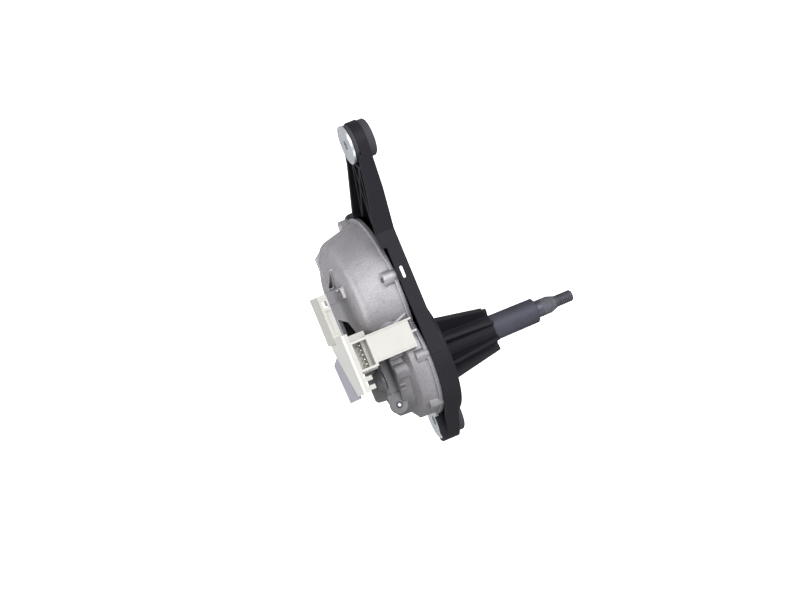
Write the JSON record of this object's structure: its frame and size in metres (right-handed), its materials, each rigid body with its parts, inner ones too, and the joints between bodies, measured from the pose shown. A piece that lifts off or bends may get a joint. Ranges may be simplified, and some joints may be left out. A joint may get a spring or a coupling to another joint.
{
  "type": "rear wiper motor",
  "caption": "Rear wiper motor: bracket on rubber bushes, cast housing with motor and worm gear, and a spindle that sweeps the wiper arm.",
  "frame": {"origin": "on the wiper spindle's axis, in the plane where the three bushes meet the tailgate panel", "axes": "+X along the spindle, out through the panel; +Y along the long bracket arm; +Z to the side that the connector opens to"},
  "size_m": [0.1619, 0.213, 0.1676],
  "materials": {
    "bracket_plastic": "black glass-filled nylon, moulded",
    "dark_steel": "black phosphated steel",
    "cast_aluminium": "die-cast, as cast",
    "zinc_steel": "zinc plated",
    "spring_steel": "ground and hardened steel",
    "rubber": "black moulded rubber",
    "sintered_bronze": "sintered, oil filled",
    "wheel_plastic": "natural acetal",
    "lamination_steel": "stacked laminations",
    "copper": "enamelled copper",
    "ferrite": "pressed ferrite or carbon",
    "cream_plastic": "cream moulded plastic",
    "lid_plastic": "pale grey moulded plastic",
    "board_laminate": "green laminate",
    "tinned_brass": "tinned"
  },
  "bodies": {
    "housing": {"board_parts": "ferrite", "bracket": "bracket_plastic", "bracket_snout": "bracket_plastic", "brush_card": "cream_plastic", "brush_springs": "spring_steel", "brushes": "ferrite", "circuit_board": "board_laminate", "connector_pins": "tinned_brass", "cover_gasket": "rubber", "ear_screw": "zinc_steel", "electronics_case": "cream_plastic", "electronics_lid": "lid_plastic", "far_bush_rubber": "rubber", "far_bush_sleeve": "zinc_steel", "gear_housing": "cast_aluminium", "housing_cover": "zinc_steel", "housing_screws": "zinc_steel", "long_arm_bush_rubber": "rubber", "long_arm_bush_sleeve": "zinc_steel", "lower_bush_rubber": "rubber", "lower_bush_sleeve": "zinc_steel", "magnets": "ferrite", "middle_shaft_bearing": "sintered_bronze", "motor_yoke": "zinc_steel", "rear_shaft_bearing": "sintered_bronze", "rear_spindle_bush": "sintered_bronze", "shield_plate": "zinc_steel", "spindle_seal": "rubber", "spindle_tube": "dark_steel", "thrust_washer": "zinc_steel", "tube_front_bush": "sintered_bronze", "tube_rear_bush": "sintered_bronze"},
    "armature": {"armature_shaft": "spring_steel", "armature_core": "lamination_steel", "windings": "copper", "commutator": "copper"},
    "output": {"output_spindle": "dark_steel", "spindle_circlip": "spring_steel", "worm_wheel": "wheel_plastic", "wheel_hub": "spring_steel"}
  },
  "joints": [
    {"name": "armature_spin", "type": "hinge", "parent": "housing", "child": "armature", "pos_m": [-0.0291, 0.0487, -0.0173], "axis": [0, -0.5749, 0.8182], "range_deg": [-4400, 0]},
    {"name": "spindle_sweep", "type": "hinge", "parent": "housing", "child": "output", "pos_m": [0, 0, 0], "axis": [1, 0, 0], "range_deg": [0, 110]}
  ],
  "couplings": [
    {"joint": "spindle_sweep", "follows": "armature_spin", "ratio": -0.025}
  ]
}
